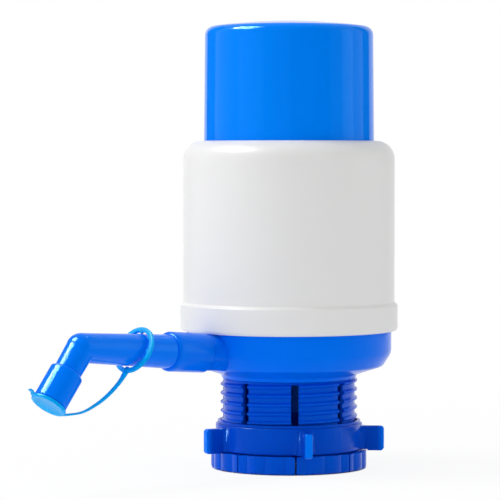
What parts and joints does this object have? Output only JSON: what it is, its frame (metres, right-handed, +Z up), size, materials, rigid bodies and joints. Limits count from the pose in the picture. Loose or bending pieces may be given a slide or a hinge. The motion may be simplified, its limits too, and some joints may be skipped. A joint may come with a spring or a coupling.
{
  "type": "water jug hand pump",
  "caption": "Hand pump for a large water bottle: press cap over a bellows, white shell, swivelling spout with tethered nozzle cap, and a slotted neck collet with a winged clamp nut.",
  "frame": {"origin": "on the pump's axis, in the foot plane of the neck collet, where the bottle's neck enters", "axes": "+Z up along the pump's axis, -X towards the spout, +Y completes the right hand"},
  "size_m": [0.1993, 0.0984, 0.2016],
  "materials": {
    "blue_cap": "smooth glossy moulded plastic",
    "white_shell": "smooth glossy moulded plastic",
    "blue_base": "glossy moulded plastic",
    "blue_collet": "glossy moulded plastic, slightly translucent",
    "blue_nut": "glossy moulded plastic",
    "blue_spout": "glossy moulded plastic",
    "tether_blue": "soft translucent blue plastic",
    "blue_inner": "plain moulded plastic",
    "seal_rubber": "pale soft rubber",
    "soft_silicone": "clear silicone",
    "bellows_plastic": "milky blow-moulded plastic",
    "screw_steel": "zinc plated"
  },
  "bodies": {
    "housing": {"base_housing": "blue_base", "neck_collet": "blue_collet", "neck_seal": "seal_rubber", "riser": "blue_inner", "riser_seal": "seal_rubber", "air_deck": "blue_inner", "outlet_valve": "soft_silicone", "deck_seal": "seal_rubber", "bellows_clamp_ring": "blue_inner", "deck_screws": "screw_steel", "body_shell": "white_shell"},
    "plunger": {"press_cap": "blue_cap", "bellows": "bellows_plastic", "bellows_head": "blue_inner", "intake_valve": "soft_silicone", "head_screws": "screw_steel"},
    "nut_carrier": {"slip_ring": "blue_nut"},
    "nut": {"clamp_nut": "blue_nut"},
    "spout": {"spout_elbow": "blue_spout", "spout_seal": "seal_rubber", "tether_ring": "tether_blue", "tether_strap": "tether_blue"},
    "nozzle_plug": {"nozzle_cap": "tether_blue"}
  },
  "joints": [
    {"name": "cap_press", "type": "slide", "parent": "housing", "child": "plunger", "axis": [0, 0, -1], "range_m": [0, 0.04], "stiffness_N_per_m": 650, "springref_m": -0.008, "deforming": ["bellows"]},
    {"name": "nut_travel", "type": "slide", "parent": "housing", "child": "nut_carrier", "axis": [0, 0, 1], "range_m": [0, 0.0181]},
    {"name": "nut_turn", "type": "hinge", "parent": "nut_carrier", "child": "nut", "pos_m": [0, 0, 0.014], "axis": [0, 0, 1], "range_deg": [0, 1620]},
    {"name": "spout_swivel", "type": "hinge", "parent": "housing", "child": "spout", "pos_m": [-0.0748, 0, 0.056], "axis": [-0.9967, 0, 0.0816], "continuous": true},
    {"name": "nozzle_cap_pull", "type": "slide", "parent": "spout", "child": "nozzle_plug", "axis": [-0.6157, 0, -0.788], "range_m": [0, 0.012], "deforming": ["tether_strap"]}
  ],
  "couplings": [
    {"joint": "nut_travel", "follows": "nut_turn", "m_per_rad": 0.00063662}
  ]
}
